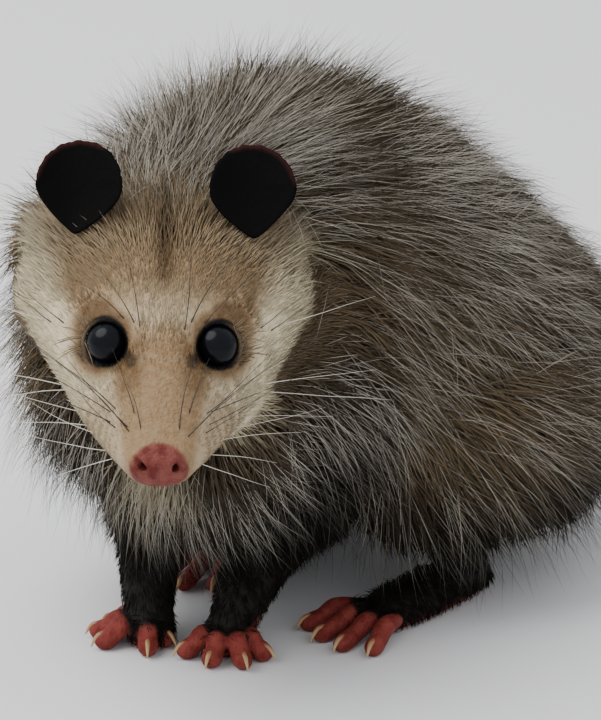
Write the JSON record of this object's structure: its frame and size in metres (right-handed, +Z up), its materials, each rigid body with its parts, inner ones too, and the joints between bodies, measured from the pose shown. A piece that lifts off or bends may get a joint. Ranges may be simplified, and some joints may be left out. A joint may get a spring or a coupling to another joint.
{
  "type": "opossum",
  "caption": "Life-size still model of a hunched wild opossum in winter coat, head turned to its left, tail curled round behind it.",
  "frame": {"origin": "on the floor, under the middle of the whole animal's bounding box", "axes": "+Z up, -Y the way the body faces, +X the animal's left side"},
  "size_m": [0.245, 0.4044, 0.2179],
  "materials": {
    "coat_grey": "long winter coat: dark grey-brown underfur under long pale guard hairs",
    "coat_face": "short, dense, creamy white face fur with tan rings round the eyes",
    "coat_legs": "short, soft, near-black leg fur",
    "skin_ear": "thin, bare, black ear skin with a dull purple-pink rim",
    "skin_paw": "bare coral-pink, finely ringed toe skin with pale horn claws",
    "skin_nose": "moist, pebbled pink nose pad",
    "skin_tail": "bare, ringed tail scales, dark at the root and pale pink beyond",
    "eye_dark": "wet, glossy, near-black eye"
  },
  "bodies": {
    "root": {"ear_left": "skin_ear", "ear_right": "skin_ear", "eye_left": "eye_dark", "eye_right": "eye_dark", "foreleg_left": "coat_legs", "foreleg_right": "coat_legs", "forepaw_left": "skin_paw", "forepaw_right": "skin_paw", "head": "coat_face", "hindpaw_left": "skin_paw", "hindpaw_right": "skin_paw", "jaw": "coat_face", "neck": "coat_grey", "nose": "skin_nose", "shank_left": "coat_legs", "shank_right": "coat_legs", "tail_base": "skin_tail", "tail_middle": "skin_tail", "tail_tip": "skin_tail", "thigh_left": "coat_grey", "thigh_right": "coat_grey", "torso": "coat_grey"}
  },
  "joints": []
}
